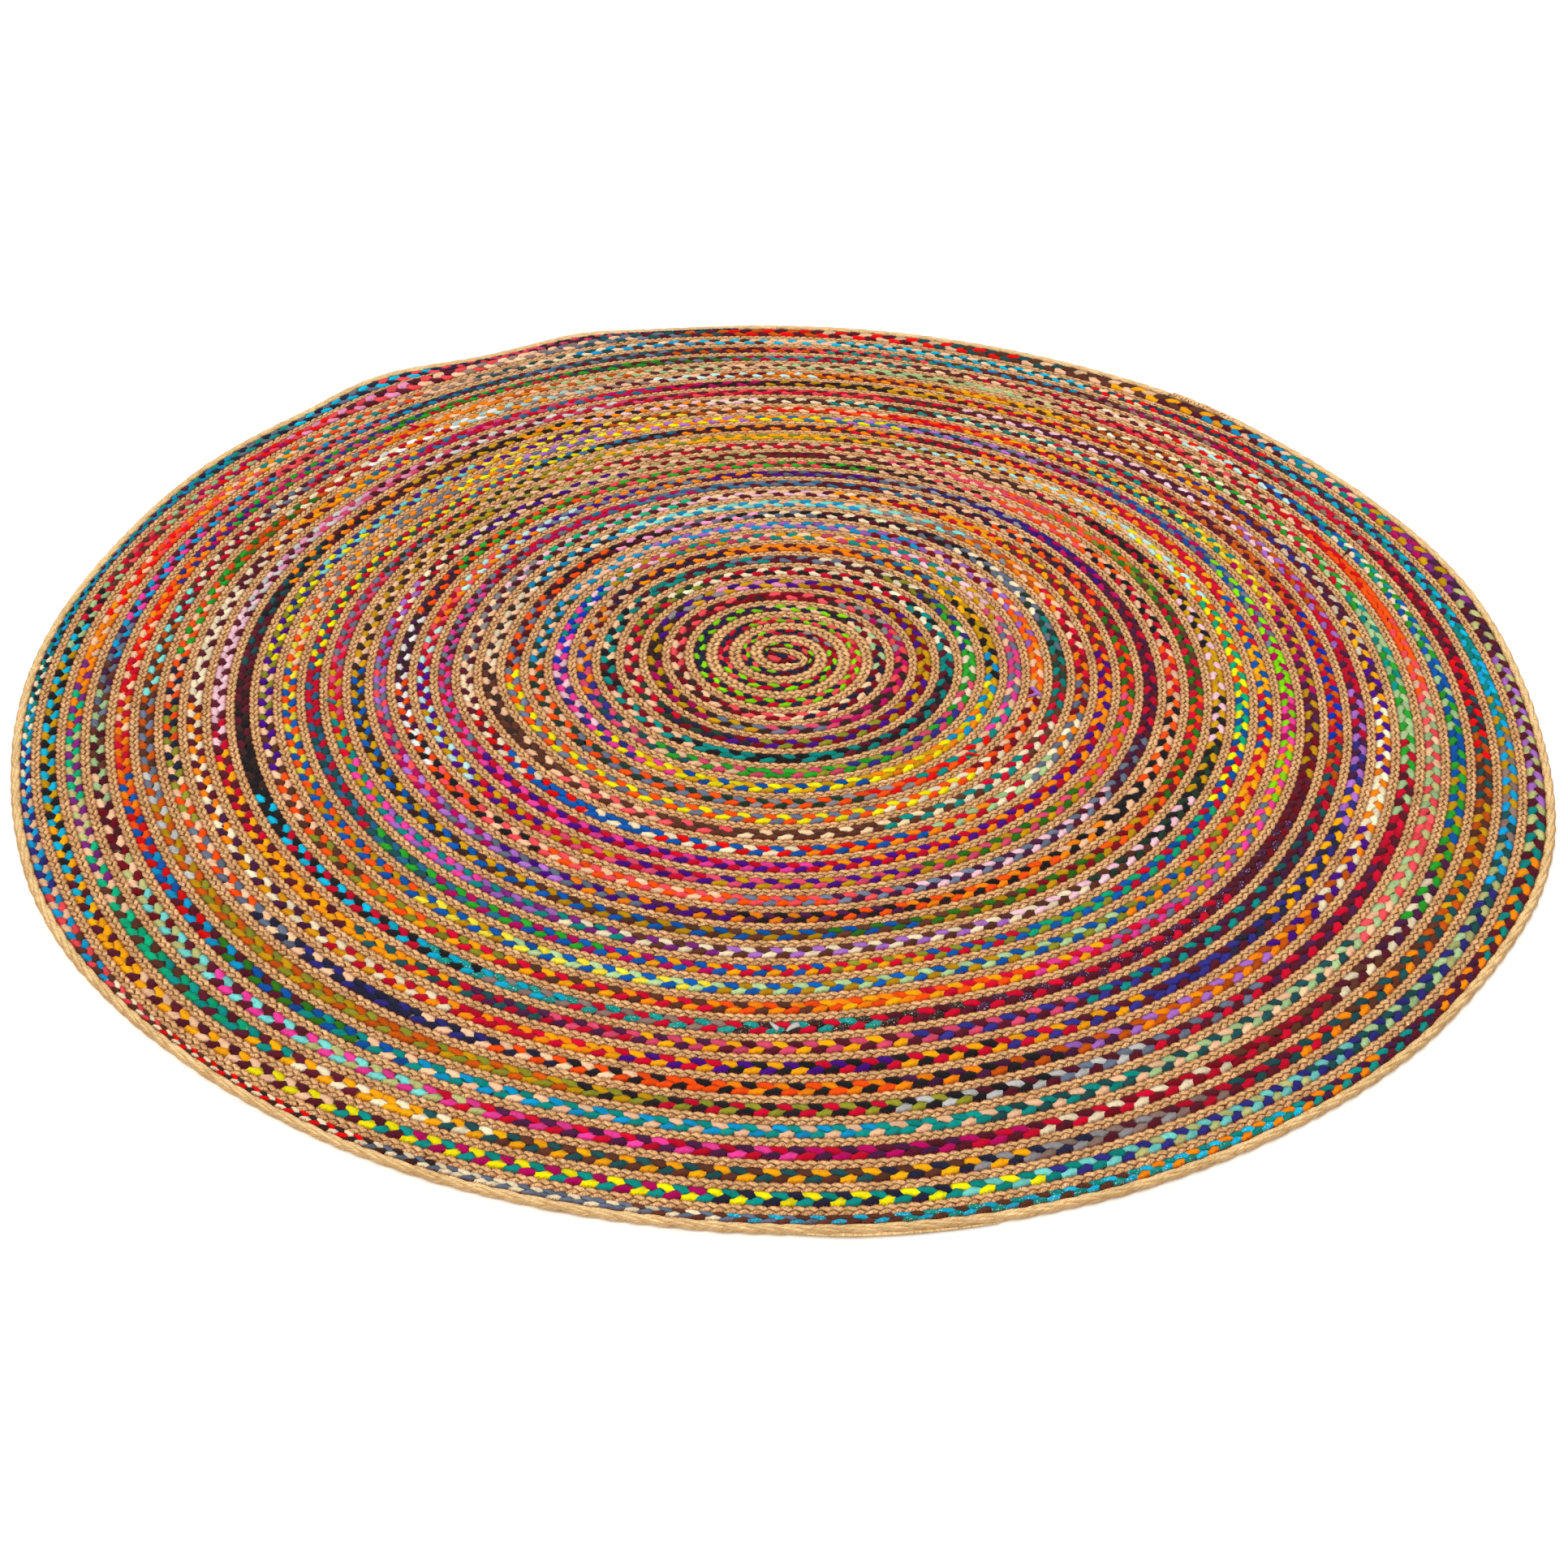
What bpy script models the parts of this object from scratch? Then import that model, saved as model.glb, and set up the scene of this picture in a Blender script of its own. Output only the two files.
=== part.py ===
import math

import bpy

# Driving dimensions in metres, unless a name says turns, steps, degrees or share.
# The rug lies on z = 0 with the middle of its spiral at the origin, +Y away from the near rim.
PAIR_PITCH = 0.03016          # one jute braid and one cotton braid, side by side
START_RADIUS = 0.02734        # jute centre line where the spiral begins
CORE_TIGHTEN = 0.0085         # the first turns are pulled in by this much
CORE_TURNS = 4.5              # turns over which that pull fades
JUTE_WIDTH = 0.0125
JUTE_CORE_WIDTH = 0.0195      # the jute is plaited fatter in the middle turns
FAT_TURNS = (2.0, 4.2)        # turns over which it thins down
EDGE_WIDTH = 0.0130
JUTE_HEIGHT = 0.0090
COTTON_HEIGHT = 0.0086
EDGE_HEIGHT = 0.0092
SEAM_GAP = 0.00036            # clear space between neighbouring braids
CROWN_SHARE = 0.24            # how far in each shoulder stands, of a braid's width
RIM_RADIUS = 1.0005
MILLIMETRE = 0.001
COARSE_STEPS = 20             # cross-sections a turn in the inner turns
FINE_STEPS = 2 * COARSE_STEPS # and in the outer ones
RIM_STEPS = 2 * FINE_STEPS
FINE_FROM_TURN = 13

JUTE_FIRST_STEP = 4           # first cross-section that follows the spiral, in coarse steps
COTTON_FIRST_STEP = -8
JUTE_LAST_TURN = 31.65        # the jute runs out here, tucked between two cotton turns
COTTON_LAST_TURN = 31.7
TUCK_TURNS = 0.045            # length over which the jute's end is pinched thin
END_WIDTH = 0.0016            # width of that end

# Where the spiral is pushed off its even line: direction, half spread, at which turn,
# over how many turns, and how far outwards.
BUMPS = (
    dict(degrees=150, spread=32, turn=0.62, over=0.40, push=0.0040),
    dict(degrees=-90, spread=40, turn=1.25, over=0.35, push=-0.0032),
    dict(degrees=84, spread=26, turn=3.6, over=1.5, push=-0.0060),
    dict(degrees=-90, spread=30, turn=3.4, over=0.8, push=0.0040),
    dict(degrees=64, spread=32, turn=13.0, over=5.0, push=0.0135),
    dict(degrees=192, spread=16, turn=12.0, over=4.5, push=0.0105),
    dict(degrees=146, spread=18, turn=21.8, over=3.6, push=-0.0100),
    dict(degrees=-76, spread=14, turn=21.2, over=4.0, push=-0.0100),
    dict(degrees=120, spread=13, turn=27.0, over=2.0, push=0.0080),
    dict(degrees=107, spread=9, turn=31.0, over=2.2, push=0.0120),
    dict(degrees=131, spread=7, turn=31.65, over=0.55, push=0.0150),
    dict(degrees=62, spread=14, turn=31.0, over=3.0, push=-0.0050),
    dict(degrees=-28, spread=22, turn=31.5, over=4.0, push=0.0115),
    dict(degrees=-100, spread=16, turn=30.0, over=4.5, push=-0.0065),
    dict(degrees=-135, spread=12, turn=31.0, over=2.5, push=0.0060),
)

# The rim's own bulges and dents.
RIM_BULGES = (
    dict(degrees=14, spread=11, push=0.0065),
    dict(degrees=48, spread=9, push=0.0065),
    dict(degrees=111, spread=6, push=0.0200),
    dict(degrees=131, spread=7, push=0.0330),
    dict(degrees=148, spread=14, push=0.0180),
    dict(degrees=184, spread=15, push=0.0065),
    dict(degrees=214, spread=14, push=0.0120),
    dict(degrees=-96, spread=17, push=-0.0070),
    dict(degrees=-46, spread=9, push=0.0050),
    dict(degrees=-24, spread=13, push=0.0160),
)
RIM_JOINT_DEGREES = 51.0      # the edge braid's two ends meet here
RIM_JOINT_STEP = 0.0045       # its outer end laps over this much prouder
RIM_JOINT_SPREAD = 7.0        # and eases back over this many degrees

# The folded start of the jute, cross-section by cross-section: outer and inner side, mm.
JUTE_FOLD = (
    dict(outer=(-17.0, 18.0), inner=(-20.5, 13.0)),
    dict(outer=(-7.5, 21.0), inner=(-10.0, 9.3)),
    dict(outer=(8.0, 19.5), inner=(2.0, 6.0)),
    dict(outer=(22.0, 12.5), inner=(12.0, -0.5)),
    dict(outer=(31.0, 2.5), inner=(20.0, -7.5)),
    dict(outer=(34.5, -9.5), inner=(21.5, -12.5)),
    dict(outer=(29.5, -21.5), inner=(15.5, -16.0)),
)
# The cotton's start, lying in that fold.
COTTON_FOLD = (
    dict(outer=(18.6, -13.5), inner=(19.1, -7.9)),
    dict(outer=(12.0, -15.1), inner=(14.0, -3.0)),
    dict(outer=(4.6, -14.2), inner=(8.5, 1.1)),
    dict(outer=(0.0, -16.5), inner=(3.0, 4.8)),
    dict(outer=(-5.6, -17.2), inner=(-2.0, 6.5)),
    dict(outer=(-11.8, -15.8), inner=(-7.5, 8.0)),
    dict(outer=(-17.3, -12.6), inner=(-11.0, 9.1)),
    dict(outer=(-22.5, -7.3), inner=(-14.5, 10.3)),
    dict(outer=(-25.9, 0.1), inner=(-18.0, 11.5)),
    dict(outer=(-28.0, 9.2), inner=(-21.0, 12.7)),
)
# The cotton's inner side where it goes on round the fold: degrees turned and radius, mm.
COTTON_WRAP_RADII = (
    dict(turned=-144, radius=25.6),
    dict(turned=-126, radius=25.4),
    dict(turned=-108, radius=23.5),
    dict(turned=-90, radius=22.4),
    dict(turned=-72, radius=21.9),
    dict(turned=-54, radius=23.3),
    dict(turned=-36, radius=26.3),
    dict(turned=-18, radius=29.4),
    dict(turned=0, radius=33.0),
    dict(turned=18, radius=36.8),
    dict(turned=36, radius=37.4),
    dict(turned=54, radius=35.3),
)

JUTE_COLOUR = (0.56, 0.38, 0.17, 1.0)
COTTON_COLOUR = (0.31, 0.14, 0.13, 1.0)
EDGE_COLOUR = (0.52, 0.36, 0.16, 1.0)


def wrapped(angle):
    return (angle + 180.0) % 360.0 - 180.0


def bell(distance, spread):
    return math.exp(-(distance / spread) ** 2)


def eased(value, low, high):
    share = min(max((value - low) / (high - low), 0.0), 1.0)
    return share * share * (3.0 - 2.0 * share)


def jute_centre(turn):
    degrees = -360.0 * turn
    radius = START_RADIUS + PAIR_PITCH * turn - CORE_TIGHTEN * math.exp(-turn / CORE_TURNS)
    for bump in BUMPS:
        sideways = bell(wrapped(degrees - bump["degrees"]), bump["spread"])
        radius += bump["push"] * sideways * bell(turn - bump["turn"], bump["over"])
    return radius


def jute_width(turn):
    width = JUTE_CORE_WIDTH + (JUTE_WIDTH - JUTE_CORE_WIDTH) * eased(turn, *FAT_TURNS)
    tuck = eased(turn, JUTE_LAST_TURN - TUCK_TURNS, JUTE_LAST_TURN)
    return width + (END_WIDTH - width) * tuck


def rim_outer(degrees):
    radius = RIM_RADIUS
    for bulge in RIM_BULGES:
        radius += bulge["push"] * bell(wrapped(degrees - bulge["degrees"]), bulge["spread"])
    past = (RIM_JOINT_DEGREES - degrees) % 360.0
    return radius + RIM_JOINT_STEP * bell(past, RIM_JOINT_SPREAD)


def rim_inner(degrees):
    radius = RIM_RADIUS - EDGE_WIDTH
    for bulge in RIM_BULGES:
        radius += bulge["push"] * bell(wrapped(degrees - bulge["degrees"]), bulge["spread"])
    return radius


def jute_side(turn, side):
    return jute_centre(turn) + side * jute_width(turn) / 2.0


def polar(turn, radius):
    angle = -2.0 * math.pi * turn
    return (radius * math.cos(angle), radius * math.sin(angle))


def middle(first, second):
    return ((first[0] + second[0]) / 2.0, (first[1] + second[1]) / 2.0)


# A side of the jute at a fine step. In the inner turns it has vertices at every second fine
# step only, and is straight between them, so that both neighbours share one broken line.
def jute_line(step, side, shift):
    turn = step / FINE_STEPS
    if turn < FINE_FROM_TURN and step % 2:
        return middle(jute_line(step - 1, side, shift), jute_line(step + 1, side, shift))
    return polar(turn, jute_side(turn, side) + shift)


def rim_line(step, shift):
    if step % 2:
        return middle(rim_line(step - 1, shift), rim_line(step + 1, shift))
    turn = step / RIM_STEPS
    return polar(turn, rim_inner(-360.0 * turn) + shift)


def scaled(point):
    return (point[0] * MILLIMETRE, point[1] * MILLIMETRE)


def fold_rows(table):
    return [(scaled(row["inner"]), scaled(row["outer"])) for row in table]


def steps_between(first_fine, fine_from, last_fine):
    coarse = list(range(first_fine, fine_from, 2))
    return coarse + list(range(fine_from, last_fine + 1))


def jute_rows():
    rows = fold_rows(JUTE_FOLD)
    last = round(JUTE_LAST_TURN * FINE_STEPS)
    for step in steps_between(2 * JUTE_FIRST_STEP, FINE_FROM_TURN * FINE_STEPS, last):
        rows.append((jute_line(step, -1, 0.0), jute_line(step, 1, 0.0)))
    return rows


def cotton_inner(step):
    turn = step / FINE_STEPS
    for row in COTTON_WRAP_RADII:
        if row["turned"] == round(360 * turn):
            return polar(turn, row["radius"] * MILLIMETRE)
    if turn > JUTE_LAST_TURN:
        return polar(turn, jute_centre(turn) + SEAM_GAP)
    return jute_line(step, 1, SEAM_GAP)


def cotton_outer(step):
    turn = step / FINE_STEPS
    rim_from = COTTON_LAST_TURN - 1.0
    if turn > rim_from:
        return rim_line(2 * step, -SEAM_GAP)
    if turn + 1.0 > JUTE_LAST_TURN:
        return polar(turn, jute_centre(turn + 1.0) - SEAM_GAP)
    return jute_line(step + FINE_STEPS, -1, -SEAM_GAP)


# The last of the cotton is a wedge between the turn inside it and the edge braid.
def cotton_tip(last):
    below = last - FINE_STEPS
    x, y = middle(cotton_outer(below), cotton_outer(below + 1))
    reach = 1.0 + 2.0 * SEAM_GAP / math.hypot(x, y)
    return ((x * reach, y * reach), rim_line(2 * last + 1, -SEAM_GAP))


def cotton_rows():
    rows = fold_rows(COTTON_FOLD)
    last = round(COTTON_LAST_TURN * FINE_STEPS)
    fine_from = (FINE_FROM_TURN - 1) * FINE_STEPS
    for step in steps_between(2 * COTTON_FIRST_STEP, fine_from, last):
        rows.append((cotton_inner(step), cotton_outer(step)))
    rows.append(cotton_tip(last))
    return rows


def rim_rows():
    rows = []
    for step in range(RIM_STEPS):
        turn = step / RIM_STEPS
        rows.append((rim_line(step, 0.0), polar(turn, rim_outer(-360.0 * turn))))
    return rows


def section(inner, outer, height):
    ends = ((0.0, 0.0), (1.0, 0.0), (1.0 - CROWN_SHARE, height), (CROWN_SHARE, height))
    points = []
    for share, level in ends:
        x = inner[0] + (outer[0] - inner[0]) * share
        y = inner[1] + (outer[1] - inner[1]) * share
        points.append((x, y, level))
    return points


def make_braid(name, rows, height, closed, colour, roughness):
    vertices = []
    for inner, outer in rows:
        vertices += section(inner, outer, height)
    corners = 4
    count = len(rows)
    faces = []
    spans = count if closed else count - 1
    for row in range(spans):
        here = row * corners
        there = (row + 1) % count * corners
        for corner in range(corners):
            after = (corner + 1) % corners
            faces.append((here + after, there + after, there + corner, here + corner))
    if not closed:
        last = (count - 1) * corners
        faces.append((3, 2, 1, 0))
        faces.append((last, last + 1, last + 2, last + 3))
    mesh = bpy.data.meshes.new(name)
    mesh.from_pydata(vertices, [], faces)
    mesh.validate()
    for face in mesh.polygons:
        face.use_smooth = True
    material = bpy.data.materials.new(name)
    material.use_nodes = True
    shader = material.node_tree.nodes["Principled BSDF"]
    shader.inputs["Base Color"].default_value = colour
    shader.inputs["Roughness"].default_value = roughness
    shader.inputs["Metallic"].default_value = 0.0
    mesh.materials.append(material)
    braid = bpy.data.objects.new(name, mesh)
    bpy.context.scene.collection.objects.link(braid)
    return braid


for thing in list(bpy.data.objects):
    bpy.data.objects.remove(thing, do_unlink=True)

make_braid("jute_braid", jute_rows(), JUTE_HEIGHT, False, JUTE_COLOUR, 0.85)
make_braid("cotton_braid", cotton_rows(), COTTON_HEIGHT, False, COTTON_COLOUR, 0.9)
make_braid("border_braid", rim_rows(), EDGE_HEIGHT, True, EDGE_COLOUR, 0.85)
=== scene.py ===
import math

import bpy
import numpy as np
from mathutils import Matrix, Vector


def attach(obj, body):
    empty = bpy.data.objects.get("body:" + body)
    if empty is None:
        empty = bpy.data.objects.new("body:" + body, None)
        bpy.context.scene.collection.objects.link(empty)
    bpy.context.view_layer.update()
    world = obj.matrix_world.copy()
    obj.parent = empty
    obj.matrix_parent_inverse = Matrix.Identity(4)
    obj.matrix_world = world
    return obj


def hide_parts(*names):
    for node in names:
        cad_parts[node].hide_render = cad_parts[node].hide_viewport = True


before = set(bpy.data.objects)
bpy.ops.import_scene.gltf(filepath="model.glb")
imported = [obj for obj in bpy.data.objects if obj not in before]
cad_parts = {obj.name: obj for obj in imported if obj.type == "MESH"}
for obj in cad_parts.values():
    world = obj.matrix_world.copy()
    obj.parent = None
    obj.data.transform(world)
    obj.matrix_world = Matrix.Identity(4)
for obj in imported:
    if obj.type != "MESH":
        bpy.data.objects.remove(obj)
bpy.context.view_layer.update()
print("frame loaded")

mm = 0.001
fullTurn = 2.0 * math.pi


# How the two braids lie: turns are counted from the middle, degrees run anticlockwise from +X,
# and both braids wind clockwise on their way out.
spiral = {
    "pairPitch": 0.03016,        # a jute braid and a rag braid side by side
    "startRadius": 0.02734,
    "coreTighten": 0.0085,
    "coreTurns": 4.5,
    "juteWidth": 0.0125,
    "juteCoreWidth": 0.0195,     # fatter in the middle
    "fatTurns": (2.0, 4.2),
    "juteFirstTurn": 0.20,
    "juteLastTurn": 31.65,
    "tuckTurns": 0.045,
    "endWidth": 0.0016,
    "ragFirstTurn": -0.40,
    "ragLastTurn": 31.735,
    "closingTurns": (31.69, 31.735),
    "squeeze": 0.0013,           # how far neighbouring braids press into one another
    "edgeWidth": 0.0130,
    "rimRadius": 1.0005,
    "rowApart": 0.004,           # between the points that a braid's sides are worked out at
}

# Where the spiral is pushed off its even line: degrees and their spread, turns and their spread,
# and the push.
bumps = (
    (150, 32, 0.62, 0.40, 0.0040),
    (-90, 40, 1.25, 0.35, -0.0032),
    (84, 26, 3.6, 1.5, -0.0060),
    (-90, 30, 3.4, 0.8, 0.0040),
    (64, 32, 13.0, 5.0, 0.0135),
    (192, 16, 12.0, 4.5, 0.0105),
    (146, 18, 21.8, 3.6, -0.0100),
    (-76, 14, 21.2, 4.0, -0.0100),
    (120, 13, 27.0, 2.0, 0.0080),
    (107, 9, 31.0, 2.2, 0.0120),
    (131, 7, 31.65, 0.55, 0.0150),
    (62, 14, 31.0, 3.0, -0.0050),
    (-28, 22, 31.5, 4.0, 0.0115),
    (-100, 16, 30.0, 4.5, -0.0065),
    (-135, 12, 31.0, 2.5, 0.0060),
)

# The rim's own bulges and dents: degrees, spread and push.
rimBulges = (
    (14, 11, 0.0065),
    (48, 9, 0.0065),
    (111, 6, 0.0200),
    (131, 7, 0.0330),
    (148, 14, 0.0180),
    (184, 15, 0.0065),
    (214, 14, 0.0120),
    (-96, 17, -0.0070),
    (-46, 9, 0.0050),
    (-24, 13, 0.0160),
)

# How both braids start in the middle, folded over.
fold = {
    "steps": 8,                  # rows from each of these places to the next
    "juteTurns": 0.6,
    "ragTurns": 0.5,
    "juteLead": 0.05,            # how far on, in turns, the jute's fold aims
}
# Row by row, an outer and an inner place, in mm.
juteFold = (
    ((-17.0, 18.0), (-20.5, 13.0)),
    ((-7.5, 21.0), (-10.0, 9.3)),
    ((8.0, 19.5), (2.0, 6.0)),
    ((22.0, 12.5), (12.0, -0.5)),
    ((31.0, 2.5), (20.0, -7.5)),
    ((34.5, -9.5), (21.5, -12.5)),
    ((29.5, -21.5), (15.5, -16.0)),
)
ragFold = (
    ((18.6, -13.5), (19.1, -7.9)),
    ((12.0, -15.1), (14.0, -3.0)),
    ((4.6, -14.2), (8.5, 1.1)),
    ((0.0, -16.5), (3.0, 4.8)),
    ((-5.6, -17.2), (-2.0, 6.5)),
    ((-11.8, -15.8), (-7.5, 8.0)),
    ((-17.3, -12.6), (-11.0, 9.1)),
    ((-22.5, -7.3), (-14.5, 10.3)),
    ((-25.9, 0.1), (-18.0, 11.5)),
    ((-28.0, 9.2), (-21.0, 12.7)),
)
# The rags' inner side where they go on round that fold: its radius in mm at each angle, and the
# turns at which it has come to the jute.
ragWrap = {
    "degrees": range(-144, 72, 18),
    "radii": (25.6, 25.4, 23.5, 22.4, 21.9, 23.3, 26.3, 29.4, 33.0, 36.8, 37.4, 35.3),
    "joins": (0.20, 0.25, 0.30),
    "steps": 6,
}


def bell(distance, spread):
    return np.exp(-(distance / spread) ** 2)


def wrapped(degrees):
    return (degrees + 180.0) % 360.0 - 180.0


def eased(value, low, high):
    share = np.clip((value - low) / (high - low), 0.0, 1.0)
    return share * share * (3.0 - 2.0 * share)


def juteCentre(turn):
    degrees = -360.0 * turn
    radius = spiral["startRadius"] + spiral["pairPitch"] * turn
    radius = radius - spiral["coreTighten"] * np.exp(-turn / spiral["coreTurns"])
    for at, spread, middleTurn, over, push in bumps:
        radius = radius + push * bell(wrapped(degrees - at), spread) * bell(turn - middleTurn, over)
    return radius


def juteWide(turn):
    thin = eased(turn, *spiral["fatTurns"])
    width = spiral["juteCoreWidth"] + (spiral["juteWidth"] - spiral["juteCoreWidth"]) * thin
    tuck = eased(turn, spiral["juteLastTurn"] - spiral["tuckTurns"], spiral["juteLastTurn"])
    return width + (spiral["endWidth"] - width) * tuck


def juteSide(turn, side):
    return juteCentre(turn) + side * juteWide(turn) / 2.0


def rimInner(degrees):
    radius = spiral["rimRadius"] - spiral["edgeWidth"]
    for at, spread, push in rimBulges:
        radius = radius + push * bell(wrapped(degrees - at), spread)
    return radius


# What lies outside the rags: the jute's next turn, then the last rags, and last the rim.
def ragOuter(turn):
    nextJute = juteSide(turn + 1.0, -1.0)
    closing = eased(turn + 1.0, *spiral["closingTurns"])
    lastLine = juteCentre(turn + 1.0) * (1.0 - closing) + rimInner(-360.0 * turn) * closing
    return np.where(turn + 1.0 < spiral["juteLastTurn"], nextJute, lastLine)


def ragInner(turn):
    closing = eased(turn, *spiral["closingTurns"])
    lastLine = juteCentre(turn) * (1.0 - closing) + rimInner(-360.0 * turn) * closing
    return np.where(turn < spiral["juteLastTurn"], juteSide(turn, 1.0), lastLine)


def onCircle(angle, radius):
    return np.stack([radius * np.cos(angle), radius * np.sin(angle)], axis=-1)


def polar(turn, radius):
    return onCircle(-fullTurn * turn, radius)


# A smooth curve through points of any width, with some steps to each span.
def smoothed(points, steps):
    points = np.asarray(points, dtype=float)
    padded = np.vstack([2 * points[:1] - points[1:2], points, 2 * points[-1:] - points[-2:-1]])
    shares = np.linspace(0.0, 1.0, steps, endpoint=False)[:, None]
    rows = []
    for n in range(len(points) - 1):
        a, b, c, d = padded[n:n + 4]
        rows.append(0.5 * (2 * b + (c - a) * shares + (2 * a - 5 * b + 4 * c - d) * shares ** 2
                           + (3 * b - a - 3 * c + d) * shares ** 3))
    rows.append(points[-1:])
    return np.vstack(rows)


# Turn numbers about as far apart as one row, from one turn to another.
def evenTurns(first, last, apart):
    turns = [first]
    while turns[-1] < last:
        radius = spiral["startRadius"] + spiral["pairPitch"] * max(turns[-1], 0.0)
        turns.append(turns[-1] + apart / (fullTurn * radius))
    turns[-1] = last
    return np.array(turns)


# A band is the strip of floor that one braid covers: its two sides and the length along it.
def makeBand(inner, outer, turns):
    centre = (inner + outer) / 2.0
    steps = np.linalg.norm(np.diff(centre, axis=0), axis=1)
    along = np.concatenate([[0.0], np.cumsum(steps)])
    width = np.linalg.norm(outer - inner, axis=1)
    return {"inner": inner, "outer": outer, "along": along, "turns": turns, "width": width}


# A band that starts in a fold and goes on as the spiral.
def foldedBand(table, following, foldTurns, turns, inner, outer):
    starts = []
    for side, ahead in ((1, following[0]), (0, following[1])):
        points = [np.array(row[side]) * mm for row in table] + [ahead[0], ahead[1]]
        starts.append(smoothed(points, fold["steps"])[:-fold["steps"] - 1])
    before = np.linspace(turns[0] - foldTurns, turns[0], len(starts[0]), endpoint=False)
    return makeBand(np.vstack([starts[0], inner]), np.vstack([starts[1], outer]),
                    np.concatenate([before, turns]))


def juteBand():
    turns = evenTurns(spiral["juteFirstTurn"], spiral["juteLastTurn"], spiral["rowApart"])
    inner = polar(turns, juteSide(turns, -1.0) - spiral["squeeze"])
    outer = polar(turns, juteSide(turns, 1.0) + spiral["squeeze"])
    near = np.array([turns[0], turns[0] + fold["juteLead"]])
    following = (polar(near, juteSide(near, -1.0)), polar(near, juteSide(near, 1.0)))
    return foldedBand(juteFold, following, fold["juteTurns"], turns, inner, outer)


def ragBand():
    turns = evenTurns(spiral["ragFirstTurn"], spiral["ragLastTurn"], spiral["rowApart"])
    joins = ragWrap["joins"]
    wrapTurns = [degrees / 360.0 for degrees in ragWrap["degrees"]] + list(joins)
    wrapRadii = [radius * mm for radius in ragWrap["radii"]]
    wrapRadii += [float(juteSide(np.array(turn), 1.0)) for turn in joins]
    wrap = smoothed(np.stack([wrapTurns, wrapRadii], axis=1), ragWrap["steps"])
    wrapLine = np.interp(turns, wrap[:, 0], wrap[:, 1])
    radii = np.where(turns < joins[1], wrapLine, ragInner(turns))
    inner = polar(turns, radii - spiral["squeeze"])
    outer = polar(turns, ragOuter(turns) + spiral["squeeze"])
    steps = fold["steps"]
    following = (inner[:steps + 1:steps], outer[:steps + 1:steps])
    return foldedBand(ragFold, following, fold["ragTurns"], turns, inner, outer)


# From a length along the band and a share of its width to a place on the floor.
def onBand(band, along, share):
    sides = []
    for side in ("inner", "outer"):
        x = np.interp(along, band["along"], band[side][:, 0])
        y = np.interp(along, band["along"], band[side][:, 1])
        sides.append(np.stack([x, y], axis=-1))
    return sides[0] + (sides[1] - sides[0]) * share[..., None]


# Three strands plaited flat. Each strand shows as one lobe after another, on the outer side and
# on the inner side in turn, and dives under the next two lobes in between. A pace is the length
# from one lobe to the next on the same side.
plait = {
    "strands": 3,
    "lobePaces": 1.5,            # from one lobe of a strand to its next
    "spareLobes": 6,             # noise is drawn for this many more at each end
    "noiseLimit": 2.0,
    "unevenLimits": (0.75, 1.3),
    "lowest": 0.0003,
    "pieces": (-1.0, 16.0, 25.0, 40.0),  # turns: each braid is a few meshes, one after another
}


def plaitStrands(band, look, firstTurn, lastTurn):
    rng = np.random.default_rng(look["seed"])
    along, step, spare = band["along"], plait["lobePaces"], plait["spareLobes"]
    periods = look["period"] * (band["width"] / look["fullWidth"]) ** look["periodPower"]
    knots = np.linspace(along[0], along[-1], int(along[-1] / look["unevenEvery"]) + 2)
    uneven = 1.0 + look["unevenShare"] * rng.standard_normal(len(knots))
    periods = periods * np.interp(along, knots, np.clip(uneven, *plait["unevenLimits"]))
    paces = np.concatenate([[0.0], np.cumsum(np.diff(along) / periods[1:])]) * plait["strands"]
    lowest, highest = np.interp([firstTurn, lastTurn], band["turns"], paces)
    noise = rng.standard_normal((plait["strands"], int(paces[-1] / step) + 2 * spare, 5))
    noise = np.clip(noise, -plait["noiseLimit"], plait["noiseLimit"])
    skip = len(look["lobe"]) - 1        # the first lobe only lends its dive
    strands = []
    for strand in range(plait["strands"]):
        lobes = np.arange(math.ceil((lowest - strand) / step) - 1,
                          math.ceil((highest - strand) / step))
        outward = lobes % 2 == 0
        run = {"band": band, "look": look, "paces": paces, "side": np.where(outward, 1.0, -1.0),
               "starts": step * lobes + strand, "noise": noise[strand][lobes + spare]}
        rings, lit, places = [], [], []
        for middle, ridge, seam, rise, light in look["lobe"]:
            corners = ((middle, "skirt"), (ridge, "crown"), (seam, "skirt"))
            ring = np.stack([lobeCorner(run, at, rise, part) for at, part in corners], axis=1)
            rings.append(np.where(outward[:, None, None], ring, ring[:, ::-1]))
            lit.append(np.where(outward[:, None], light, light[::-1]))
            places.append(np.interp(run["starts"] + ridge[0], paces, along))
        strands.append({
            "strand": strand,
            "rings": np.stack(rings, axis=1).reshape(-1, 3, 3)[skip:],
            "lit": np.stack(lit, axis=1).reshape(-1, 3)[skip:],
            "along": np.stack(places, axis=1).ravel()[skip:],
            "lobe": np.repeat(lobes, skip + 1)[skip:],
            "tone": np.repeat(run["noise"][:, 4], skip + 1)[skip:],
        })
    return strands


# Where one corner of a lobe's section lies, for all of one strand's lobes.
def lobeCorner(run, corner, rise, part):
    look, noise = run["look"], run["noise"]
    at, across = corner
    if across < look["seamFrom"]:
        across = across * (1.0 + look["fatNoise"] * noise[:, 0])
    shift = at * (1.0 + look["longNoise"] * noise[:, 1]) + look["placeNoise"] * noise[:, 2]
    along = np.interp(run["starts"] + shift, run["paces"], run["band"]["along"])
    flat = onBand(run["band"], along, 0.5 + 0.5 * run["side"] * across)
    height = look["midHeight"] + rise * (1.0 + look["highNoise"] * noise[:, 3]) + look[part]
    return np.concatenate([flat, np.maximum(height, plait["lowest"])[:, None]], axis=1)


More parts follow.
